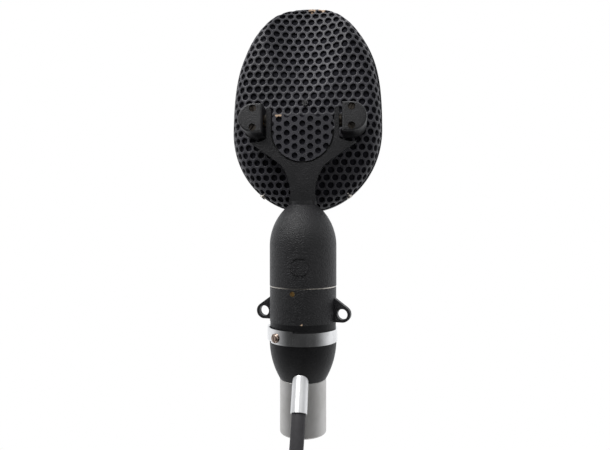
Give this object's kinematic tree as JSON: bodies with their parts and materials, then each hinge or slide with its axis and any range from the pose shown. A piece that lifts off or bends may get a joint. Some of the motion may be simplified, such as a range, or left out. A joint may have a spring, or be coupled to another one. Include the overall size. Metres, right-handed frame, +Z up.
{
  "type": "ribbon microphone",
  "caption": "Ribbon microphone: perforated egg-shaped head tilting in a cast yoke on a swivelling bell housing, with a stand socket, clamp band and captive lead.",
  "frame": {"origin": "centre of the stand socket's mouth, at the stem's lower end", "axes": "+Z up along the stem, -Y the yoke side of the head, +X to the right seen from the yoke side"},
  "size_m": [0.0844, 0.091, 0.5021],
  "materials": {
    "crackle_black": "black wrinkle paint on perforated sheet",
    "black_paint": "black wrinkle paint on castings",
    "lining_cloth": "fine black gauze",
    "screw_steel": "darkened steel",
    "bronze": "bronze",
    "polished_band": "polished plated strip",
    "satin_metal": "satin plated",
    "magnet_steel": "ground magnet steel",
    "ribbon_foil": "corrugated foil",
    "coil_wire": "enamelled copper winding",
    "insulator": "phenolic board",
    "cord_rubber": "matt dark grey rubber",
    "tie_strap": "black rubber strap",
    "contact_metal": "plated contacts"
  },
  "bodies": {
    "base": {"stem": "satin_metal", "stem_nut": "screw_steel", "bowl": "black_paint", "terminal_board": "insulator", "terminal_screws": "bronze", "cable_gland": "polished_band", "collar": "black_paint", "clamp_band": "polished_band", "band_screw": "screw_steel", "barrel": "black_paint", "set_screw": "bronze", "swivel_washer": "bronze", "cord": "cord_rubber", "cord_hank": "cord_rubber", "hank_tie": "tie_strap", "connector_boot": "cord_rubber", "connector_shell": "satin_metal", "connector_insert": "insulator", "connector_contacts": "contact_metal"},
    "swivel": {"yoke": "black_paint", "vent_plate": "crackle_black", "vent_gauze": "lining_cloth", "left_trunnion": "screw_steel", "right_trunnion": "screw_steel", "bell_housing": "black_paint", "access_plug": "black_paint", "crown_nut": "screw_steel", "transformer_spacer": "screw_steel", "transformer_can": "satin_metal", "can_nut": "screw_steel", "can_lid": "satin_metal", "transformer_core": "magnet_steel", "transformer_coil": "coil_wire"},
    "head": {"rear_grille": "crackle_black", "front_grille": "crackle_black", "head_rim": "black_paint", "rear_lining": "lining_cloth", "front_lining": "lining_cloth", "left_pivot_block": "black_paint", "left_pivot_cap": "black_paint", "right_pivot_block": "black_paint", "right_pivot_cap": "black_paint", "left_cap_screws": "screw_steel", "right_cap_screws": "screw_steel", "left_pivot_bush": "bronze", "right_pivot_bush": "bronze", "rim_screws": "screw_steel", "grille_screw": "screw_steel", "motor_frame": "screw_steel", "motor_screws": "screw_steel", "horseshoe_magnet": "magnet_steel", "left_pole_piece": "magnet_steel", "right_pole_piece": "magnet_steel", "ribbon": "ribbon_foil", "ribbon_clamps": "ribbon_foil", "clamp_insulators": "insulator", "clamp_screws": "screw_steel"}
  },
  "joints": [
    {"name": "swivel_turn", "type": "hinge", "parent": "base", "child": "swivel", "pos_m": [0, 0, 0.07735], "axis": [0, 0, 1], "range_deg": [-90, 90]},
    {"name": "head_tilt", "type": "hinge", "parent": "swivel", "child": "head", "pos_m": [0, 0, 0.16409], "axis": [1, 0, 0], "range_deg": [-3, 40]}
  ]
}
